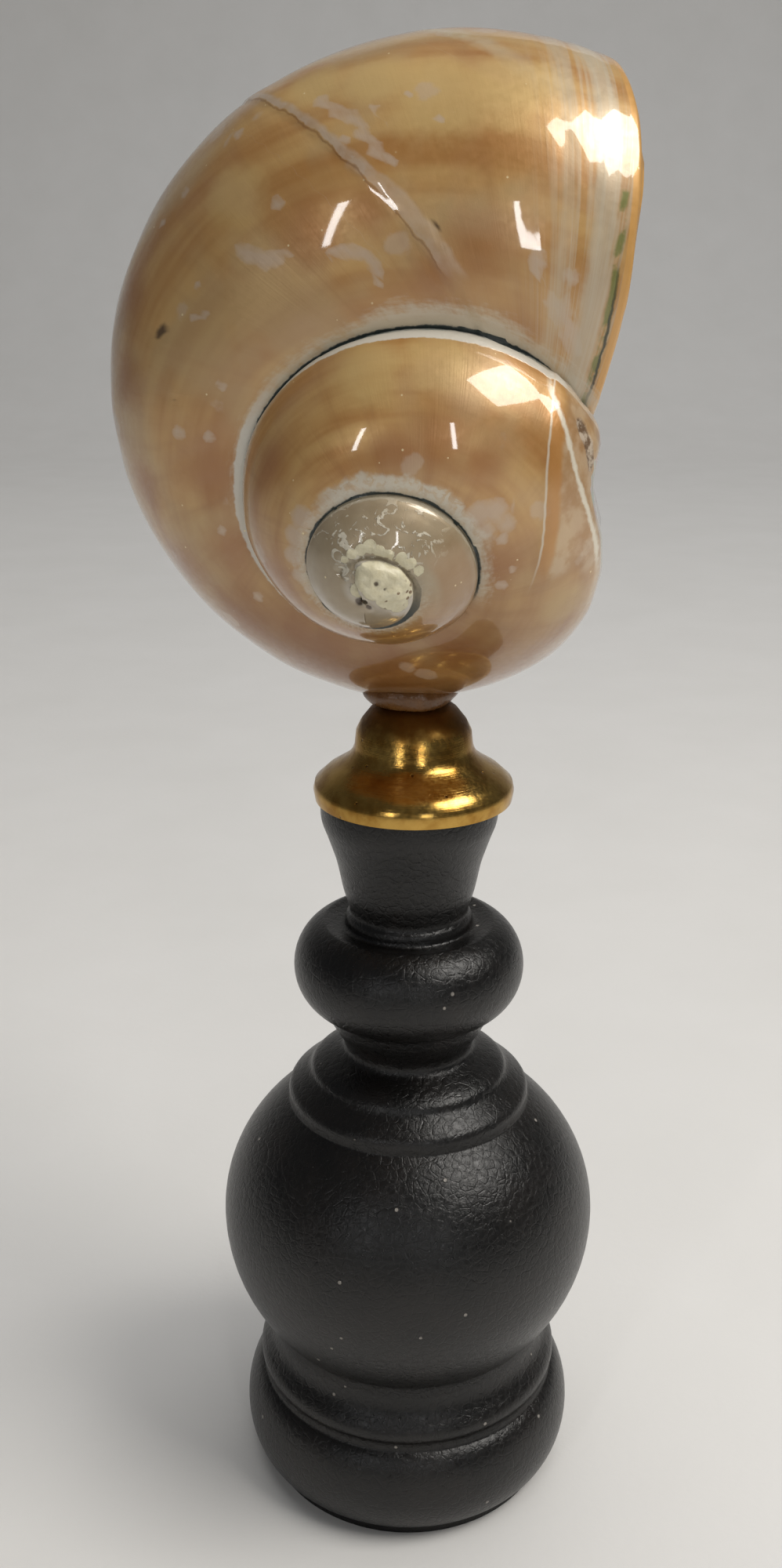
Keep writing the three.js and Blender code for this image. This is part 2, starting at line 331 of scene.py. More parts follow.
def suture_table():
    """Growth angles, and where the older whorl leaves the newer one there, on the apex's side."""
    angles = np.linspace(FIRST_ANGLE + TURN, LAST_ANGLE + 0.2, 900)
    turns = np.linspace(-0.6, 3.6, 500)
    radius, height = section_point(angles[:, None] - TURN, turns[None, :])
    out = in_section(angles[:, None], radius, height)[1] - 1
    leaving = (out[:, :-1] < 0) & (out[:, 1:] >= 0)
    closest = np.abs(out[:, 1:]).argmin(axis=1)
    place = np.where(leaving.any(axis=1), leaving.argmax(axis=1), closest)
    rows = np.arange(len(angles))
    share = out[rows, place] / (out[rows, place] - out[rows, place + 1])
    share = np.clip(share, 0, 1)
    at = turns[place] + share * (turns[1] - turns[0])
    return (angles, *section_point(angles - TURN, at))


SUTURE_ANGLES, SUTURE_RADII, SUTURE_HEIGHTS = suture_table()


def from_suture(angle, radius, height):
    """Distance in the section from the suture at that growth angle."""
    across = radius - np.interp(angle, SUTURE_ANGLES, SUTURE_RADII)
    along = height - np.interp(angle, SUTURE_ANGLES, SUTURE_HEIGHTS)
    there = (angle >= SUTURE_ANGLES[0]) & (angle <= LAST_ANGLE)
    return np.where(there, np.hypot(across, along), FAR)


# Meshes.
def mesh_object(name, points, faces):
    mesh = bpy.data.meshes.new(name)
    mesh.from_pydata([tuple(p) for p in points], [], [tuple(f) for f in faces])
    mesh.update()
    made = bpy.data.objects.new(name, mesh)
    bpy.context.scene.collection.objects.link(made)
    return made


def tube(name, points, closed=False):
    """A solid from rows of points, each row a loop. It closes on itself or has flat ends."""
    rows, columns = points.shape[:2]
    steps = np.arange(rows if closed else rows - 1), np.arange(columns)
    row, column = np.meshgrid(*steps, indexing="ij")
    here, above = row * columns, (row + 1) % rows * columns
    beside = (column + 1) % columns
    quads = np.stack([here + column, here + beside, above + beside, above + column], -1)
    last = (rows - 1) * columns
    ends = [] if closed else [range(columns - 1, -1, -1), range(last, last + columns)]
    return mesh_object(name, points.reshape(-1, 3), [*quads.reshape(-1, 4).tolist(), *ends])


def combined(first, second, operation):
    """The first solid joined with the second or cut by it. The second is used up."""
    modifier = first.modifiers.new("combine", "BOOLEAN")
    modifier.solver = "MANIFOLD"
    modifier.operation = operation
    modifier.object = second
    graph = bpy.context.evaluated_depsgraph_get()
    mesh = bpy.data.meshes.new_from_object(first.evaluated_get(graph))
    first.modifiers.clear()
    first.data = mesh
    bpy.data.objects.remove(second)
    return first


def whorl(start, end):
    """A solid stretch of whorl between two growth angles, less than a turn apart."""
    angles = np.linspace(start, end, max(3, round((end - start) / COARSE_STEP)))[:, None]
    turns = np.linspace(0, TURN, SIDES + 1)[None, :-1]
    taper = 1 - smooth_step(angles, FIRST_ANGLE - TAPER_BEFORE, FIRST_ANGLE + TAPER)
    inset = TAPER_SHARE * taper * grown(WHORL_WIDTH, angles)
    radius, height = section_point(angles, turns, inset)
    return tube("whorl", worn_point(angles + 0 * radius, np.maximum(radius, CORE), height))


def old_whorls(end):
    """The solid whorls from the apex to a growth angle."""
    count = math.ceil((end - FIRST_ANGLE) / (0.8 * TURN))
    borders = np.linspace(FIRST_ANGLE, end, count + 1)
    joined = whorl(borders[0], borders[1])
    for start, stop in zip(borders[1:-1], borders[2:]):
        joined = combined(joined, whorl(start, stop), "UNION")
    return joined


def nose_inset(distance):
    """How far the lip's round edge draws the wall's surface towards its middle."""
    half = LIP_WALL / 2
    share = np.clip(1 - distance / half, 0, 0.985)
    return half * (1 - np.sqrt(1 - share * share))


def rows_to_lip(start, sides, step, nose_rows):
    """Section and growth angles up to the lip, with how they lie to it and more rows near it."""
    turns = np.linspace(0, TURN, sides + 1)[None, :-1]
    ends = lip_angle(turns)
    speed = np.maximum(section_point(ends, turns)[0], NEAR_AXIS)
    shares = np.linspace(0, 1, round((LAST_ANGLE - start) / step))[:, None]
    angles = start + (ends - LIP_WALL / 2 / speed - start) * shares
    near = 1 - np.cos(np.linspace(0.12, math.pi / 2, nose_rows))[::-1][:, None]
    return turns, ends, speed, np.concatenate([angles, ends - LIP_WALL / 2 * near / speed])


def newest_whorl(start):
    """The solid last whorl, which ends in the rounded outer half of the lip."""
    turns, ends, speed, angles = rows_to_lip(start, SIDES, FINE_STEP, 6)
    distance = (ends - angles) * speed
    radius, height = section_point(angles, turns, nose_inset(distance))
    return tube("newest", shell_point(angles, np.maximum(radius, CORE), height))


def chamber(start):
    """The hollow of the last whorl, with the rounded inner half of the lip."""
    turns, ends, speed, angles = rows_to_lip(start, CHAMBER_SIDES, 2 * FINE_STEP, 5)
    angles = np.concatenate([angles, ends + np.linspace(0.02, 0.3, 4)[:, None]])
    distance = np.maximum((ends - angles) * speed, 0)
    wall = WALL + (LIP_WALL - WALL) * smooth_step(-distance, -THINNING, 0)
    radius, height = section_point(angles, turns, wall - nose_inset(distance))
    pillar = PILLAR_RADIUS + PILLAR_SPREAD * height * height
    radius = pillar + np.logaddexp(0, (radius - pillar) / PILLAR_SOFTNESS) * PILLAR_SOFTNESS
    return tube("chamber", worn_point(angles, radius, height, wall))


def axis_rod():
    """A rod that fills the line of the axis, up to which the whorls reach."""
    turns = np.linspace(0, TURN, 25)[None, :-1]
    heights = np.array([ROD_BOTTOM, ROD_TOP])[:, None] + 0 * turns
    return tube("rod", shell_point(-turns, np.full(heights.shape, ROD_RADIUS), heights))


def shell_solid():
    solid = combined(old_whorls(JOINT_ANGLE), newest_whorl(JOINT_ANGLE), "UNION")
    space = combined(chamber(HOLLOW_ANGLE), old_whorls(HOLLOW_ANGLE), "DIFFERENCE")
    solid = combined(solid, space, "DIFFERENCE")
    solid = combined(solid, axis_rod(), "UNION")
    solid.name = "turban_shell"
    return solid


def numbers(items, name):
    values = np.zeros(len(items), int)
    items.foreach_get(name, values)
    return values


def vectors(items, name):
    values = np.zeros((len(items), 3))
    items.foreach_get(name, values.ravel())
    return values


def vertex_points(mesh):
    return vectors(mesh.vertices, "co")


def set_points(mesh, points):
    mesh.vertices.foreach_set("co", points.ravel())
    mesh.update()


def write_facts(mesh, facts, domain):
    for name, values in facts.items():
        attribute = mesh.attributes.new(name, "FLOAT", domain)
        attribute.data.foreach_set("value", values.astype(np.float32))


def nearest_whorls(centres):
    """The growth angle and direction of each face's centre, and whether it is on the inside."""
    radius, height, around = shell_coordinates(centres)
    newest = LIP_PHASE - around
    newest -= TURN * np.ceil((newest - LAST_ANGLE - 0.06) / TURN)
    best = np.full(len(centres), 1e9)
    angle, inside, covered = newest.copy(), np.zeros(len(centres)), np.zeros(len(centres), bool)
    for back in range(4):
        here = newest - back * TURN
        turn, out = in_section(here, radius, height)
        depth = (1 - out) * grown(WHORL_WIDTH, here)
        walled = np.maximum(np.abs(depth - INNER_DEPTH) - INNER_SPREAD, 0)
        miss = np.minimum(np.abs(depth), walled)
        inner = (walled < np.abs(depth)) & (depth > LIP_WALL / 2)
        better = miss < best
        best = np.where(better, miss, best)
        angle = np.where(better, here, angle)
        inside = np.where(better, (inner | covered) & (here > OLDEST_INSIDE), inside)
        covered |= (out < 0.99) & (here < lip_angle(turn) - 0.02) & (here > FIRST_ANGLE)
    return angle, around, inside


def trailing(lag, degrees, radius, trail):
    """Distance past a scar that trails the lip and leans across the whorl."""
    behind, lean, middle = trail
    return (lag + np.radians(behind - lean * (degrees - middle))) * radius


def corner_facts(mesh):
    """What each face's corners are on the shell: growth, distances from lip, sutures and scars."""
    points = vertex_points(mesh)
    vertex = numbers(mesh.loops, "vertex_index")
    counts = numbers(mesh.polygons, "loop_total")
    starts = numbers(mesh.polygons, "loop_start")
    centres = np.add.reduceat(points[vertex], starts) / counts[:, None]
    angle, around, inside = nearest_whorls(centres)
    face = np.repeat(np.arange(len(counts)), counts)
    radius, height, corner_around = shell_coordinates(points[vertex])
    swing = around[face] - corner_around
    angle = angle[face] + (swing + math.pi) % TURN - math.pi
    turn, _ = in_section(angle, radius, height)
    lag = angle - lip_angle(turn)
    degrees = np.degrees(turn)
    facts = {
        "growth": np.degrees(angle),
        "turn": degrees,
        "lip": -lag * np.maximum(radius, NEAR_AXIS),
        "line": (angle - LINE_LEAN * lip_angle(turn)) * LINE_LENGTH,
        "older": from_suture(angle, radius, height),
        "newer": from_suture(angle + TURN, radius, height),
        "scar": trailing(lag, degrees, radius, SCAR_TRAIL),
        "band": trailing(lag, degrees, radius, BAND_TRAIL),
        "inside": inside[face],
    }
    return vertex, facts


def at_vertices(vertex, values, count):
    """The least of the values that the corners at each vertex have."""
    least = np.full(count, 1e9)
    np.minimum.at(least, vertex, values)
    return least


def nearby(values):
    """Distances past a scar, with the places far in front of it counted as far behind."""
    return np.where(values < -5, FAR, values)


def seen_point(piece, across, down):
    """The point of a piece that the photograph shows at a pixel."""
    level, up = math.cos(CAMERA_PITCH), math.sin(CAMERA_PITCH)
    direction = np.array([0, level, -up])
    direction = direction + np.array([1, 0, 0]) * (across - PHOTO_WIDTH / 2) / FOCAL_PIXELS
    direction = direction + np.array([0, up, level]) * (PHOTO_HEIGHT / 2 - down) / FOCAL_PIXELS
    hit, place, _, _ = piece.ray_cast(Vector(CAMERA_POSITION), Vector(direction).normalized())
    return np.array(place) if hit else None


def from_spots(piece, points, spots):
    """How far points are from each spot's middle, in its radii, and its depth if it has one."""
    for across, down, radius, *depth in spots:
        middle = seen_point(piece, across, down)
        if middle is not None:
            size = radius * (np.linalg.norm(middle - CAMERA_POSITION) / FOCAL_PIXELS)
            yield np.linalg.norm(points - middle, axis=1) / size, depth


def spot_depth(piece, points, spots):
    """How deep points lie in spots: 1 in the middle of one and 0 at its edge."""
    deepest = np.full(len(points), -1.0)
    for away, _ in from_spots(piece, points, spots):
        deepest = np.maximum(deepest, 1 - away)
    return deepest


def pit_depth(piece, points):
    deepest = np.zeros(len(points))
    for away, (depth,) in from_spots(piece, points, PITS):
        deepest = np.maximum(deepest, depth * np.exp(-1.5 * away**2))
    return deepest


def callus_distance(points, growth):
    """Distance to the right of the edge of the glaze that the mouth spreads on the older whorl."""
    upper, bend_above = CALLUS_ABOVE
    lower, bend_below = CALLUS_BELOW
    edge = CALLUS_EDGE + bend_above * np.maximum(points[:, 2] - upper, 0) ** 2
    edge = edge + bend_below * np.maximum(lower - points[:, 2], 0) ** 2
    beside = (growth < CALLUS_GROWTH[1]) & (growth > CALLUS_GROWTH[0])
    beside &= (points[:, 1] < 0) & (points[:, 2] > CALLUS_BOTTOM)
    return np.where(beside, points[:, 0] - edge, -9)


def relief(points, facts, spots, callus, pits):
    """How far each point of the shell stands out from its smooth shape."""
    outside = 1 - facts["inside"]
    near = np.minimum(facts["older"], facts["newer"])
    worn = smooth_step(facts["growth"], -300, -290) * smooth_step(-facts["growth"], 145, 160)
    height = -SUTURE_DEPTH * (1 - 0.7 * worn) * np.exp(-((near / SUTURE_WIDTH) ** 2))
    swell = smooth_step(facts["newer"], 0.3, 0.6) * (1 - smooth_step(facts["newer"], 1.3, 1.6))
    height += SUTURE_SWELL * swell

    # Ribs along the lip.
    lip = facts["lip"]
    ribbed = outside * smooth_step(-lip, -15, -3) * smooth_step(lip, 0.4, 2)
    wander = 0.5 * waves(points, 7, 3)
    height += RIB_HEIGHT * ribbed * np.sin(lip * 2.1 + wander)
    height += FINE_RIB_HEIGHT * ribbed * np.sin(lip * 4.7 + 2 * wander)

    # Each scar is a small step with a groove before it.
    for name, step in SCAR_STEPS:
        value = facts[name]
        height += outside * step * smooth_step(value, -0.5, 0.3) * (1 - smooth_step(value, 0.3, 4))
        height -= outside * step * np.exp(-(((value + 0.4) / 0.4) ** 2))
    glaze = smooth_step(callus, -0.15, 0.2) * (1 - smooth_step(callus, 1.2, 4.5))
    height += GLAZE_HEIGHT * glaze * smooth_step(points[:, 2], 122, 128)

    # Slight unevenness all over, and rough chalk and corner.
    height += outside * (0.1 * waves(points, 9, 5) + 0.03 * waves(points, 3, 6))
    eroded = smooth_step(spots["chalk"], -0.1, 0.2)
    height += eroded * (0.1 * waves(points, 1.0, 8) + 0.05 * waves(points, 0.5, 9))
    corner = smooth_step(spots["corner"], -0.1, 0.5)
    height += corner * (0.15 * waves(points, 0.9, 10) - 0.25)
    return height - pits


def finish_mesh(piece, sharp_angle):
    """Brings a piece from millimetres to metres, with smooth shading but for its sharp edges."""
    mesh = piece.data
    set_points(mesh, vertex_points(mesh) * MM)
    mesh.polygons.foreach_set("use_smooth", [True] * len(mesh.polygons))
    mesh.set_sharp_from_angle(angle=math.radians(sharp_angle))


# Bodies of revolution.
def arc(radius, height, width, rise, start, end, count):
    angles = np.radians(np.linspace(start, end, count))
    return [(radius + width * math.cos(a), height + rise * math.sin(a)) for a in angles]


def rounded(profile, size):
    """A profile with each corner cut back by up to a size, in two passes."""
    for _ in range(2):
        points = [np.array(profile[0])]
        for before, corner, after in zip(profile, profile[1:], profile[2:]):
            before, corner, after = map(np.array, (before, corner, after))
            for other in (before, after):
                away = other - corner
                length = np.linalg.norm(away)
                points.append(corner + away * min(0.25, size / length))
        points.append(np.array(profile[-1]))
        profile = points
        size /= 2
    return profile


def turned(name, profile, sides, closed=False):
    """A body of revolution about +Z from points of radius and height that run upwards."""
    profile = np.array(profile)
    angles = np.linspace(0, TURN, sides + 1)[:-1]
    ring = np.stack([np.cos(angles), np.sin(angles)], -1)
    points = [np.concatenate([r * ring, np.full((sides, 1), z)], 1) for r, z in profile]
    return tube(name, np.array(points), closed)


def stand_profile():
    return [
        (FOOT_RADIUS, 0),
        (FOOT_RADIUS, 0.9),
        *arc(FOOT_RADIUS - 0.6, 7.3, BASE_RADIUS - FOOT_RADIUS + 0.6, 6.2, -80, 75, 24),
        (FOOT_RADIUS + 0.2, GROOVE_Z),
        (FOOT_RADIUS + 0.7, GROOVE_Z + 0.8),
        (FOOT_RADIUS + 0.6, GROOVE_Z + 2),
        (FOOT_RADIUS - 0.9, GROOVE_Z + 3.8),
        (FOOT_RADIUS - 1.3, GROOVE_Z + 5.6),
        *arc(0, BALL_Z, BALL_RADIUS, 23.5, -40, 0, 24),
        *arc(0, BALL_Z, BALL_RADIUS, 21.2, 2, 50.5, 26),
        (RING_RADIUS, RING_Z + 0.4),
        (RING_RADIUS, RING_Z + 2),
        (12.6, 57.6),
        (12.3, 58.6),
        (10.6, 59.6),
        (NECK_RADIUS, 60.6),
        (NECK_RADIUS, 62),
        (9.8, 64.6),
        *arc(BEAD_RADIUS - 5.4, BEAD_Z, 5.4, 6, -72, 75, 28),
        (COLLAR_RADIUS, BEAD_Z + 5.2),
        (COLLAR_RADIUS, BEAD_Z + 6.6),
        (COLLAR_RADIUS - 0.7, BEAD_Z + 7.3),
        (8.1, 82.4),
        (8.9, 86.4),
        (9.9, 89.4),
        (SOCKET_RADIUS, SOCKET_Z),
        (SOCKET_RADIUS, CAP_BOTTOM + 0.4),
        (TENON_RADIUS, 97),
        (TENON_RADIUS - 0.6, TENON_TOP),
    ]


def make_stand():
    piece = turned("turned_stand", rounded(stand_profile(), 0.5), 96)
    finish_mesh(piece, 40)
    return piece


def cap_profile():
    inner = BRASS_THICKNESS + 0.1
    return [
        (SOCKET_RADIUS + 0.5, CAP_BOTTOM),
        (CAP_RADIUS - 0.2, CAP_BOTTOM),
        (CAP_RADIUS, CAP_BOTTOM + 1.2),
        (CAP_RADIUS - 0.2, CAP_BOTTOM + 2.1),
        (10.6, 97.7),
        (9, 98.7),
        (7.9, 99.5),
        (CAP_BARREL_RADIUS + 0.5, 100.2),
        (CAP_BARREL_RADIUS + 0.2, 101),
        (CAP_BARREL_RADIUS, 102.8),
        (6.3, 104),
        (5.2, 105.4),
        (4, CAP_TOP),
        (0.05, CAP_TOP),
        (0.05, TENON_TOP + 1),
        (CAP_BARREL_RADIUS - inner + 0.4, TENON_TOP),
        (CAP_BARREL_RADIUS - inner + 0.7, 99.4),
        (9.6, 97.3),
        (SOCKET_RADIUS + 0.5, CAP_BOTTOM + 1.4),
    ]


def make_cap():
    piece = turned("brass_cap", cap_profile(), 128, closed=True)
    points = vertex_points(piece.data)
    set_points(piece.data, points + [CAP_SHIFT, 0, 0])
    finish_mesh(piece, 40)
    return piece


def make_shell():
    piece = shell_solid()
    mesh = piece.data
    bpy.context.view_layer.update()
    points = vertex_points(mesh)
    vertex, corners = corner_facts(mesh)
    for name in ("scar", "band"):
        corners[name] = nearby(corners[name])
    facts = {name: at_vertices(vertex, values, len(points)) for name, values in corners.items()}
    callus = callus_distance(points, facts["growth"])
    pits = pit_depth(piece, points)
    lists = {"pale": PALE_BLOTCHES, "chalk": CHALK, "amber": AMBER, "gold": GOLD, "corner": CORNER}
    spots = {name: spot_depth(piece, points, chosen) for name, chosen in lists.items()}
    write_facts(mesh, spots, "POINT")
    glaze = smooth_step(points[:, 2], *GLAZE_FADE)
    own = {"callus": callus, "glaze": glaze, "pits": pits, "edge": beyond_edge(points)}
    write_facts(mesh, own, "POINT")
    write_facts(mesh, corners, "CORNER")
    height = relief(points, facts, spots, callus, pits)
    set_points(mesh, points + height[:, None] * vectors(mesh.vertex_normals, "vector"))
    finish_mesh(piece, 60)
    return piece


def make_glue():
    """A drop between the cap and the shell, that spreads a little on both."""
    profile = [
        (GLUE_RADIUS - 2.2, CAP_TOP - 0.4),
        (GLUE_RADIUS - 0.9, CAP_TOP - 0.1),
        (GLUE_RADIUS - 0.3, CAP_TOP + 0.7),
        (GLUE_RADIUS + 0.1, CAP_TOP + 1.5),
        (GLUE_RADIUS - 0.2, GLUE_TOP - 0.4),
        (GLUE_RADIUS - 1.4, GLUE_TOP),
    ]
    piece = turned("glue_drop", rounded(profile, 0.4), 64)
    points = vertex_points(piece.data)
    out = np.hypot(points[:, 0], points[:, 1])
    swell = 1 + 0.07 * waves(points, 4, 21) * smooth_step(out, 1, 4)
    points[:, :2] *= swell[:, None]
    points[:, 0] += CAP_SHIFT
    set_points(piece.data, points)
    finish_mesh(piece, 60)
    return piece


# Finishes.
def srgb(red, green, blue):
    """A colour as it looks on a screen, in the linear values that the nodes take."""
    shares = [c / 255 for c in (red, green, blue)]
    return (*[c / 12.92 if c <= 0.04045 else ((c + 0.055) / 1.055) ** 2.4 for c in shares], 1)


class Finish:
    """A material made of nodes, with a short call for each kind of node."""

    def __init__(self, name):
        self.material = bpy.data.materials.new(name)
        self.material.use_nodes = True
        self.nodes = self.material.node_tree.nodes
        self.links = self.material.node_tree.links
        self.shader = self.nodes["Principled BSDF"]
        scale = self.nodes.new("ShaderNodeVectorMath")
        scale.operation = "SCALE"
        scale.inputs["Scale"].default_value = 1 / MM
        self.links.new(self.nodes.new("ShaderNodeTexCoord").outputs["Object"], scale.inputs[0])
        self.place = scale.outputs[0]
        self.colour = None

    def put(self, socket, value):
        if isinstance(value, bpy.types.NodeSocket):
            self.links.new(value, socket)
        else:
            socket.default_value = value

    def set(self, **values):
        for name, value in values.items():
            self.put(self.shader.inputs[name.replace("_", " ")], value)

    def fact(self, name):
        node = self.nodes.new("ShaderNodeAttribute")
        node.attribute_name = name
        return node.outputs["Fac"]

    def math(self, operation, first, second):
        node = self.nodes.new("ShaderNodeMath")
        node.operation = operation
        self.put(node.inputs[0], first)
        self.put(node.inputs[1], second)
        return node.outputs[0]

    def add(self, first, second):
        return self.math("ADD", first, second)

    def times(self, first, *others):
        for other in others:
            first = self.math("MULTIPLY", first, other)
        return first

    def opposite(self, share):
        return self.math("SUBTRACT", 1.0, share)

    def swing(self, pattern, size):
        """A pattern between 0 and 1 as one about zero, that many units wide."""
        return self.times(self.add(pattern, -0.5), size)

    def most(self, first, *others):
        for other in others:
            first = self.math("MAXIMUM", first, other)
        return first

    def step(self, value, low, high, least=0.0, most=1.0):
        """A smooth change from least, below low, to most, above high."""
        node = self.nodes.new("ShaderNodeMapRange")
        node.interpolation_type = "SMOOTHSTEP"
        for place, given in enumerate((value, low, high, least, most)):
            self.put(node.inputs[place], given)
        return node.outputs[0]

    def stripe(self, value, low, high, soft):
        rising = self.step(value, low - soft, low + soft)
        return self.times(rising, self.step(value, high - soft, high + soft, 1.0, 0.0))

    def point(self, across, along, deep=0.0):
        node = self.nodes.new("ShaderNodeCombineXYZ")
        for place, given in enumerate((across, along, deep)):
            self.put(node.inputs[place], given)
        return node.outputs[0]

    def noise(self, size, detail=3.0, place=None, roughness=0.55, warp=0.0):
        node = self.nodes.new("ShaderNodeTexNoise")
        self.put(node.inputs["Vector"], place or self.place)
        node.inputs["Scale"].default_value = 1 / size
        node.inputs["Detail"].default_value = detail
        node.inputs["Roughness"].default_value = roughness
        node.inputs["Distortion"].default_value = warp
        return node.outputs["Fac"]

    def cells(self, size, feature="F1"):
        node = self.nodes.new("ShaderNodeTexVoronoi")
        node.feature = feature
        self.put(node.inputs["Vector"], self.place)
        node.inputs["Scale"].default_value = 1 / size
        return node.outputs["Distance"]

    def mix(self, share, first, second):
        """Two colours mixed, each from a node or as it looks on a screen."""
        node = self.nodes.new("ShaderNodeMix")
        node.data_type = "RGBA"
        self.put(node.inputs["Factor"], share)
        for place, given in ((6, first), (7, second)):
            self.put(node.inputs[place], srgb(*given) if isinstance(given, tuple) else given)
        return node.outputs[2]

    def paint(self, over, *shares):
        """Lays a colour over what is there, by the product of some shares."""
        self.colour = self.mix(self.times(*shares), self.colour, over)

    def height(self):
        node = self.nodes.new("ShaderNodeSeparateXYZ")
        self.put(node.inputs[0], self.place)
        return node.outputs[2]

    def bump(self, height, distance):
        node = self.nodes.new("ShaderNodeBump")
        node.inputs["Strength"].default_value = 1
        node.inputs["Distance"].default_value = distance * MM
        self.put(node.inputs["Height"], height)
        return node.outputs["Normal"]


def nacre():
    """The facts and patterns of the nacre, its amber body colour and the pale blotches on it."""
    f = Finish("nacre")
    names = ("growth", "turn", "lip", "line", "older", "newer", "inside")
    v = SimpleNamespace(**{name: f.fact(name) for name in names})
    v.outside = f.opposite(v.inside)
    v.broad, v.middling, v.fine = f.noise(11, 3), f.noise(3.2, 4), f.noise(0.8, 4)
    bands = f.noise(1, 3, f.point(f.times(v.turn, 0.075), f.times(v.line, 0.02)))
    streaks = f.noise(1, 3, f.point(f.times(v.line, 0.16), f.times(v.turn, 0.012), 4.0))
    v.hairs = f.noise(1, 4, f.point(f.times(v.line, 2.2), f.times(v.turn, 0.02), 9.0))

    # The amber body, in bands along the whorl and streaks across it.
    f.colour = f.mix(f.step(bands, 0.3, 0.68), (172, 122, 64), (200, 160, 100))
    f.paint((184, 156, 112), f.step(v.broad, 0.42, 0.66, 0.0, 0.6))
    f.paint((150, 100, 52), f.step(streaks, 0.46, 0.75, 0.0, 0.4))
    uneven = f.swing(v.middling, 0.7)
    f.paint((204, 172, 112), f.step(f.add(f.fact("gold"), uneven), -0.1, 0.6), 0.7)
    f.paint((158, 102, 48), f.step(f.add(f.fact("amber"), uneven), -0.2, 0.9), 0.7)
    rim = f.stripe(f.add(v.turn, f.times(v.middling, 14)), -4, 16, 6)
    f.paint((170, 106, 52), rim, 0.45)
    f.paint((184, 146, 118), f.step(f.noise(14, 2, warp=1.0), 0.5, 0.7, 0.0, 0.15))
    # Darker brown towards the bottom: partly the shell's own colour, partly painted shade where
    # less light falls.
    low = f.step(f.add(f.height(), f.times(v.broad, 16)), 142, 112, 0.0, 0.75)
    f.paint((118, 72, 32), low)

    # Smoky pale blotches with ragged edges.
    ragged = f.add(f.fact("pale"), f.swing(v.middling, 0.9))
    ragged = f.add(ragged, f.swing(v.fine, 0.25))
    blotch = f.add(f.step(ragged, -0.06, 0.22, 0.0, 0.55), f.step(ragged, 0.1, 0.6, 0.0, 0.35))
    dots = f.add(f.cells(7.5), f.times(v.middling, 0.35))
    scattered = f.times(f.step(dots, 0.38, 0.32), f.step(v.broad, 0.47, 0.5))
    pale = f.most(f.times(blotch, 0.85), f.times(scattered, 0.45))
    f.paint((194, 172, 150), pale)
    return f, v


def nacre_marks(f, v):
    """The scars, the stripes along the lip, one of them painted pearly sheen, and the lines along
    them, over the body colour.
    """
    lip, outside = v.lip, v.outside
    wander = f.add(v.middling, -0.5)
    place = f.add(f.fact("scar"), f.times(wander, 1.9))
    cloudy = f.step(f.noise(1.8, 3), 0.3, 0.6, 0.55, 1.0)
    lower = f.step(v.older, 20, 10)
    faded = f.step(lower, 0.0, 1.0, 0.75, 0.45)
    narrow = f.add(place, f.times(lower, -1.4))
    scar = f.times(f.step(place, -0.1, 0.1), f.step(narrow, 1.2, 0.5), cloudy, outside)
    free = f.step(f.add(v.older, f.times(wander, 2)), 4.5, 6.5)
    f.paint((200, 180, 160), scar, free, faded)
    edge = f.times(f.stripe(place, -0.3, -0.1, 0.12), 0.5, outside, free)
    f.paint((112, 70, 36), edge)
    place = f.add(f.fact("band"), f.times(wander, 3))
    band = f.times(f.step(place, -1.2, 0.6), f.step(place, 4, 1), cloudy)
    band = f.times(band, outside, f.step(v.turn, 48, 14))
    f.paint((204, 194, 168), band, 0.6)
    wavy = f.add(lip, f.times(wander, 1.2))
    near = f.times(f.step(wavy, 13, 6), f.step(v.hairs, 0.42, 0.62), outside)
    f.paint((196, 180, 154), near, 0.5)
    # Painted pearly sheen: a pale stripe a little behind the lip.
    painted_sheen_stripe = f.times(f.stripe(wavy, 2.6, 5.2, 0.5), outside)
    f.paint((196, 184, 160), painted_sheen_stripe, 0.65)
    second = f.times(f.stripe(wavy, 7.2, 8.6, 0.5), outside)
    f.paint((196, 180, 152), second, 0.4)
    shown = f.times(f.step(v.turn, 30, 62), f.step(f.noise(2.4, 3), 0.4, 0.55))
    green = f.times(f.stripe(wavy, 1.6, 2.4, 0.22), shown, outside)
    f.paint((104, 116, 52), green, 0.8)
    dark = f.times(f.stripe(wavy, 1.55, 1.85, 0.1), f.step(v.turn, 70, 92), outside)
    f.paint((38, 42, 22), dark, 0.9)
    rim = f.times(f.step(lip, 1.3, 1.1), outside)
    f.paint((210, 158, 86), rim, 0.85)


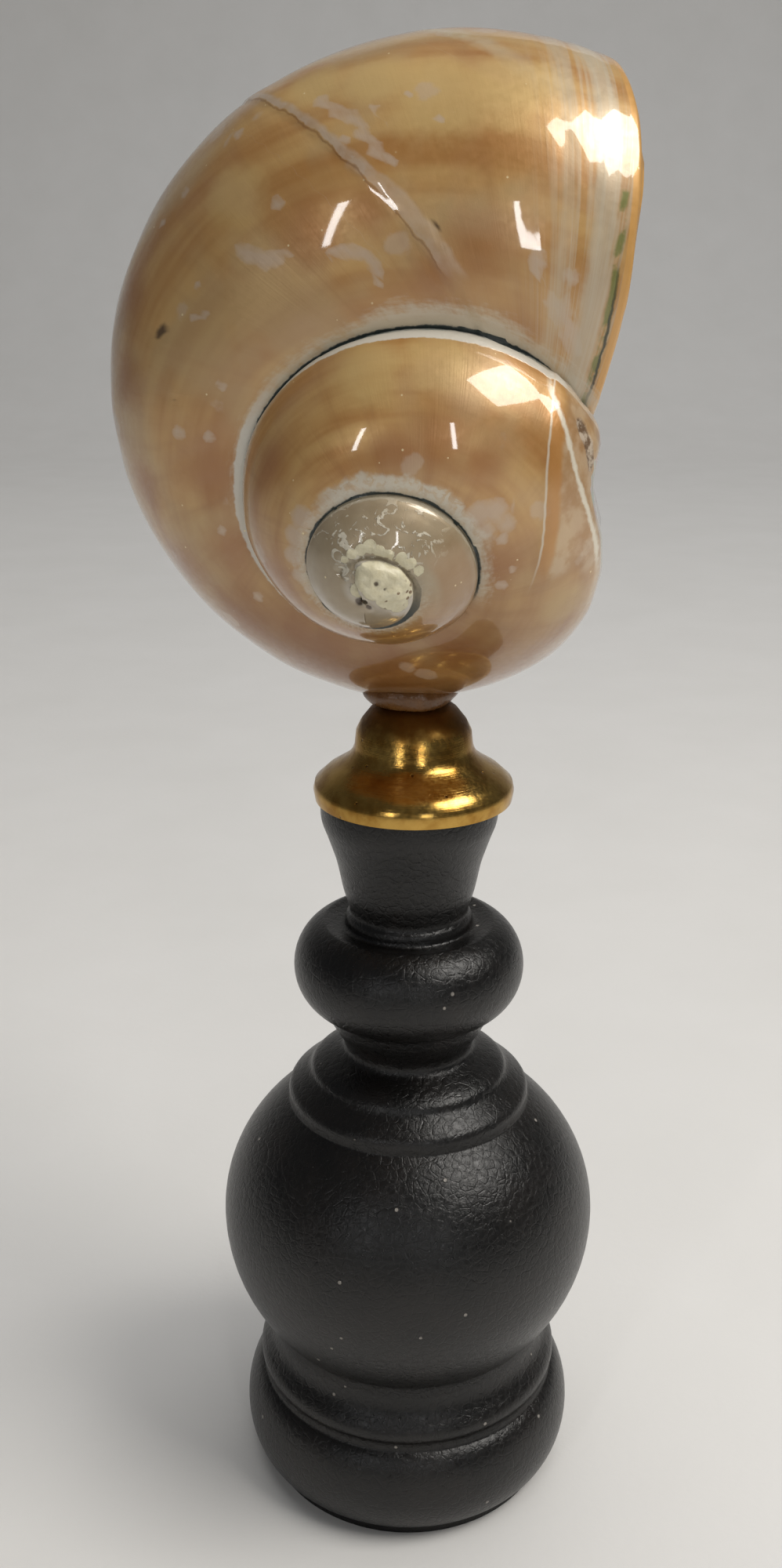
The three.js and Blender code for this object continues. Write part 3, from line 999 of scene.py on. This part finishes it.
def nacre_sutures(f, v):
    """The dark line of each suture and the white bands beside it, and how matt they are."""
    older, newer = v.older, v.newer
    rough = f.swing(v.fine, 0.5)
    on_newer = f.step(f.add(older, f.times(newer, -1.0)), 0.0, 0.01, 1.0, 0.0)
    turned = f.add(v.growth, f.times(f.opposite(on_newer), 360.0))
    fading = f.most(f.step(turned, -150, -112), f.step(turned, -280, -300))
    near = f.math("MINIMUM", older, newer)

    # The band on the spire's side is wide towards the mouth, and the other wide away from it.
    early = f.step(turned, -300, -320, 0.0, 0.7)
    width = f.most(f.step(turned, -110, -40, 0.55, 1.7), early)
    band = f.times(f.step(f.add(f.add(newer, rough), f.times(width, -1.0)), 0.15, -0.05), fading)
    f.paint((220, 216, 204), band, 0.92)
    along = f.noise(1, 4, f.point(f.times(v.line, 0.35), f.times(older, 2.2), 2.0))
    strokes = f.noise(1, 3, f.point(f.times(v.line, 0.9), f.times(older, 0.9), 5.0))
    smear = f.add(f.times(along, 2.2), f.times(strokes, 1.4))
    smear = f.add(smear, f.times(f.stripe(turned, -52, -12, 8), -1.3))
    fringe = f.times(f.step(f.add(older, smear), 3.7, 1.6), fading)
    f.paint((204, 196, 176), fringe, 0.75)
    left = f.times(f.stripe(turned, -190, -95, 14), f.step(f.add(older, rough), 1.2, 0.95))
    f.paint((208, 206, 196), left, 0.8)
    ragged = f.add(older, f.times(v.middling, 3))
    chalky = f.times(f.stripe(turned, -440, -330, 12), f.step(ragged, 3.6, 2.9))
    flaky = f.step(f.noise(1.2, 4, warp=1.0), 0.42, 0.56, 0.45, 1.0)
    f.paint((204, 198, 182), chalky, flaky, 0.8)
    wide = f.times(f.stripe(turned, -690, -520, 25), 0.35)
    line = f.add(f.add(near, f.times(rough, 0.7)), f.times(wide, -1.0))
    v.dark = f.times(f.step(line, 0.24, 0.12), fading)
    f.paint((24, 44, 46), v.dark, 0.95)
    teal = f.times(f.stripe(f.add(newer, rough), 0.22, 0.42, 0.08), fading)
    teal = f.times(teal, f.step(v.middling, 0.45, 0.6))
    f.paint((96, 128, 124), teal, 0.6)
    return f.most(f.times(band, 0.4), f.times(fringe, 0.5), f.times(v.dark, 1.4))


def nacre_apex(f, v):
    """The grey early whorls and the flaking chalk on the apex, and how eroded they are."""
    growth, middling = v.growth, v.middling
    grey = f.mix(f.noise(2.2, 4), (140, 124, 96), (176, 164, 140))
    f.paint(grey, f.step(growth, -620, -690), 0.85)
    brown = f.times(f.stripe(growth, -700, -610, 20), f.stripe(v.newer, 1.2, 5.5, 0.6))
    f.paint((148, 106, 56), brown, 0.6)
    flakes = f.times(f.step(f.noise(1.5, 5, warp=1.5), 0.56, 0.6), f.step(growth, -690, -720))
    flakes = f.times(flakes, f.step(v.older, 7, 3))
    f.paint((220, 214, 196), flakes, 0.7)
    bare = f.opposite(v.dark)
    nucleus = f.times(f.step(f.fact("chalk"), -1.2, 0.0), f.step(growth, -790, -830), bare)
    f.paint((196, 188, 174), nucleus, 0.7)
    ragged = f.add(f.fact("chalk"), f.swing(middling, 0.8))
    chalk = f.times(f.step(ragged, 0.0, 0.1), bare)
    f.paint(f.mix(v.fine, (192, 180, 142), (230, 224, 198)), chalk)
    specks = f.times(chalk, f.step(f.cells(0.9), 0.26, 0.18), f.step(middling, 0.46, 0.53))
    f.paint((104, 70, 32), specks, 0.85)
    return f.most(chalk, flakes)


def nacre_callus(f, v):
    """The glaze beside the mouth, the worn white edge beyond it, and pits and dust."""
    callus, glaze, edge = f.fact("callus"), f.fact("glaze"), f.fact("edge")
    middling, outside = v.middling, v.outside
    lit = f.times(outside, f.step(edge, -0.2, -0.5), glaze)
    wander = f.swing(middling, 0.8)
    uneven = f.add(callus, wander)
    ragged = f.step(f.add(glaze, wander), 0.2, 0.6)
    beyond = f.times(f.step(uneven, 1.0, 1.8), outside, ragged)
    pearly = f.mix(f.step(middling, 0.4, 0.6), (168, 132, 92), (196, 172, 142))
    f.paint(pearly, beyond, 0.65)
    strip = f.times(f.step(callus, 0.0, 0.2), f.step(uneven, 1.7, 1.1), lit)
    f.paint((184, 128, 64), strip, 0.7)
    line = f.times(f.stripe(callus, -0.1, 0.08, 0.06), outside, glaze)
    f.paint((216, 204, 184), line, 0.75)
    border = f.stripe(f.add(edge, f.swing(v.fine, 0.5)), -0.95, -0.5, 0.15)
    white = f.times(border, f.step(callus, -1.0, 0.0), f.step(edge, -2.5, -0.7))
    white = f.times(white, f.step(glaze, 0.0, 1.0, 0.1, 1.0))
    f.paint((228, 220, 200), white, 0.9)
    pit = f.step(f.fact("pits"), 0.05, 0.16)
    f.paint((58, 36, 18), pit, 0.85)
    dust = f.times(f.step(f.cells(2.6), 0.05, 0.035), f.step(v.broad, 0.44, 0.5))
    f.paint((232, 214, 168), dust, outside, 0.8)


def nacre_inside(f, v):
    """Silvery nacre in the mouth, with faint pink and green, and a grey-brown rough corner."""
    glow = f.noise(7, 3, warp=2.0)
    pearl = f.mix(f.step(glow, 0.35, 0.65), (200, 178, 178), (186, 198, 184))
    pearl = f.mix(f.step(v.broad, 0.45, 0.7, 0.0, 0.7), pearl, (214, 196, 164))
    f.paint(pearl, v.inside)
    ragged = f.add(f.fact("corner"), f.swing(v.middling, 0.6))
    corner = f.step(ragged, 0.0, 0.3)
    dirty = f.mix(f.step(v.fine, 0.4, 0.62), (92, 72, 54), (178, 164, 146))
    f.paint(dirty, corner, 0.9)
    return corner


def nacre_material():
    f, v = nacre()
    nacre_marks(f, v)
    chalk = nacre_sutures(f, v)
    eroded = nacre_apex(f, v)
    nacre_callus(f, v)
    corner = nacre_inside(f, v)
    matt = f.most(eroded, f.times(corner, 0.9), f.times(chalk, 0.7))
    sheen = f.times(f.step(matt, 0.0, 0.6, 1.0, 0.0), f.add(0.25, f.times(v.inside, 0.2)))
    worn = f.step(v.fine, 0.3, 0.7, 0.32, 0.44)
    height = f.add(f.times(v.hairs, 0.25), f.times(f.noise(0.35, 3), 0.12))
    height = f.add(height, f.times(v.middling, 0.5))
    height = f.add(height, f.times(matt, f.noise(0.5, 5), 2.0))
    f.set(Base_Color=f.colour, Metallic=sheen, Roughness=worn, Normal=f.bump(height, 0.06))
    f.set(Coat_Weight=f.step(matt, 0, 1, 1.0, 0.1), Coat_Roughness=0.05, Coat_IOR=1.5)
    return f.material


def wood_material():
    f = Finish("black_wood")
    leather = f.noise(0.7, 5, roughness=0.65, warp=0.6)
    creases = f.cells(1.3, feature="DISTANCE_TO_EDGE")
    broad = f.noise(9, 3)
    f.colour = f.mix(f.step(broad, 0.4, 0.7), (9, 8, 7), (20, 17, 15))
    f.paint((50, 38, 30), f.step(leather, 0.6, 0.78, 0.0, 0.3))
    dust = f.times(f.step(f.cells(4.2), 0.07, 0.045), f.step(broad, 0.42, 0.5))
    f.paint((150, 144, 136), dust, 0.8)
    height = f.add(f.times(leather, 0.8), f.step(creases, 0.0, 0.1, 0.0, 0.14))
    height = f.add(height, f.times(dust, 1.5))
    rough = f.step(leather, 0.25, 0.75, 0.26, 0.35)
    f.set(Base_Color=f.colour, Roughness=rough, Normal=f.bump(height, 0.12))
    f.set(Specular_IOR_Level=0.45)
    return f.material


def brass_material():
    f = Finish("brass")
    height = f.height()
    lines = f.noise(1, 3, f.point(f.times(height, 7.0), 0.0))
    broad, fine = f.noise(3, 4), f.noise(0.5, 4)
    f.colour = f.mix(f.step(broad, 0.35, 0.7), (196, 158, 84), (158, 116, 52))
    # Darker brown and rougher towards the top of the cap.
    darker_top = f.step(f.add(height, f.times(broad, 3.4)), 104.2, 106.2)
    f.paint((92, 58, 22), darker_top, 0.85)
    spots = f.times(f.step(f.cells(1.7), 0.13, 0.08), f.step(broad, 0.5, 0.6))
    f.paint((74, 46, 20), spots, 0.7)
    grain = f.add(f.times(lines, 0.6), f.times(fine, 0.5))
    rough = f.add(f.step(fine, 0.3, 0.7, 0.15, 0.27), f.times(darker_top, 0.25))
    f.set(Base_Color=f.colour, Metallic=1.0, Roughness=rough)
    f.set(Normal=f.bump(f.add(grain, f.times(spots, -1.5)), 0.035))
    return f.material


def glue_material():
    f = Finish("glue")
    # Dark brown: the glue's own colour, deepened by painted shade of the gap under the shell.
    f.colour = f.mix(f.noise(1.6, 4), (70, 42, 20), (124, 84, 42))
    f.set(Base_Color=f.colour, Roughness=f.step(f.noise(0.8, 3), 0.3, 0.7, 0.18, 0.4))
    f.set(Normal=f.bump(f.noise(1.1, 4), 0.15))
    return f.material


def floor_material():
    f = Finish("floor")
    f.colour = f.mix(f.noise(40, 3), (214, 212, 208), (222, 220, 217))
    f.set(Base_Color=f.colour, Roughness=0.75, Normal=f.bump(f.noise(1.5, 3), 0.05))
    return f.material


# The surroundings.
FLOOR_WIDTH = 6
FLOOR_FRONT = -2
FLOOR_BACK = 1.1
BACKDROP_BEND = 0.5
BACKDROP_HEIGHT = 3
WHITE = (1, 1, 1)
WARM = (1, 0.97, 0.92)
SHELL_MIDDLE = (0, 0, 0.13)

# Each light: its name, place, target, size, watts and colour. The last one isn't mirrored.
LIGHTS = (
    ("key", (0.35, -0.15, 0.57), SHELL_MIDDLE, (0.34, 0.22), 2.5, WARM),
    ("strip_left", (-0.22, -0.42, 0.25), SHELL_MIDDLE, (0.022, 0.16), 0.18, WHITE),
    ("strip_right", (0.11, -0.46, 0.22), SHELL_MIDDLE, (0.018, 0.16), 0.16, WHITE),
    ("overhead", (0.3, 0.3, 1.6), (0, 0.1, 0), (2, 2), 19, WHITE),
)
SKY_COLOUR = (0.8, 0.82, 0.86, 1)
SKY_STRENGTH = 0.12


def make_floor():
    """A floor that bends up into a backdrop behind the object."""
    bend = [
        (FLOOR_BACK + BACKDROP_BEND * math.sin(a), BACKDROP_BEND * (1 - math.cos(a)))
        for a in np.linspace(0, math.pi / 2, 24)
    ]
    line = [(FLOOR_FRONT, 0), *bend, (FLOOR_BACK + BACKDROP_BEND, BACKDROP_HEIGHT)]
    points = [(side * FLOOR_WIDTH / 2, y, z) for y, z in line for side in (-1, 1)]
    faces = [(i, i + 1, i + 3, i + 2) for i in range(0, len(points) - 2, 2)]
    floor = mesh_object("floor", points, faces)
    floor.data.polygons.foreach_set("use_smooth", [True] * len(faces))
    floor.data.materials.append(floor_material())


def make_light(name, place, target, size, watts, colour):
    data = bpy.data.lights.new(name, "AREA")
    data.shape = "RECTANGLE"
    data.size, data.size_y = size
    data.energy = watts
    data.color = colour
    light = bpy.data.objects.new(name, data)
    light.location = place
    light.rotation_euler = (Vector(target) - Vector(place)).to_track_quat("-Z", "Y").to_euler()
    bpy.context.scene.collection.objects.link(light)
    return light


def make_lights():
    """A soft key from the upper right, two narrow strips and a wide light over the floor."""
    lights = [make_light(*light) for light in LIGHTS]
    lights[-1].visible_glossy = False
    world = bpy.data.worlds.new("world")
    world.use_nodes = True
    sky = world.node_tree.nodes["Background"].inputs
    sky["Color"].default_value = SKY_COLOUR
    sky["Strength"].default_value = SKY_STRENGTH
    bpy.context.scene.world = world
    bpy.context.scene.view_settings.view_transform = "Standard"


def make_camera():
    data = bpy.data.cameras.new("camera")
    data.sensor_fit = "VERTICAL"
    data.sensor_height = SENSOR_HEIGHT
    data.lens = FOCAL_PIXELS / PHOTO_HEIGHT * SENSOR_HEIGHT
    data.clip_start = 0.01
    camera = bpy.data.objects.new("camera", data)
    camera.location = Vector(CAMERA_POSITION * MM)
    camera.rotation_euler = (math.pi / 2 - CAMERA_PITCH, 0, 0)
    bpy.context.scene.collection.objects.link(camera)
    bpy.context.scene.camera = camera


make_camera()
make_floor()
make_lights()
for piece, slot, node, material in (
    (make_shell(), "nacre", "shell", nacre_material()),
    (make_stand(), "black_wood", "stand", wood_material()),
    (make_cap(), "brass", "cap", brass_material()),
    (make_glue(), "glue", "glue", glue_material()),
):
    piece.data.materials.clear()
    piece.data.materials.append(material)
    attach(piece, "root")
    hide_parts(node)
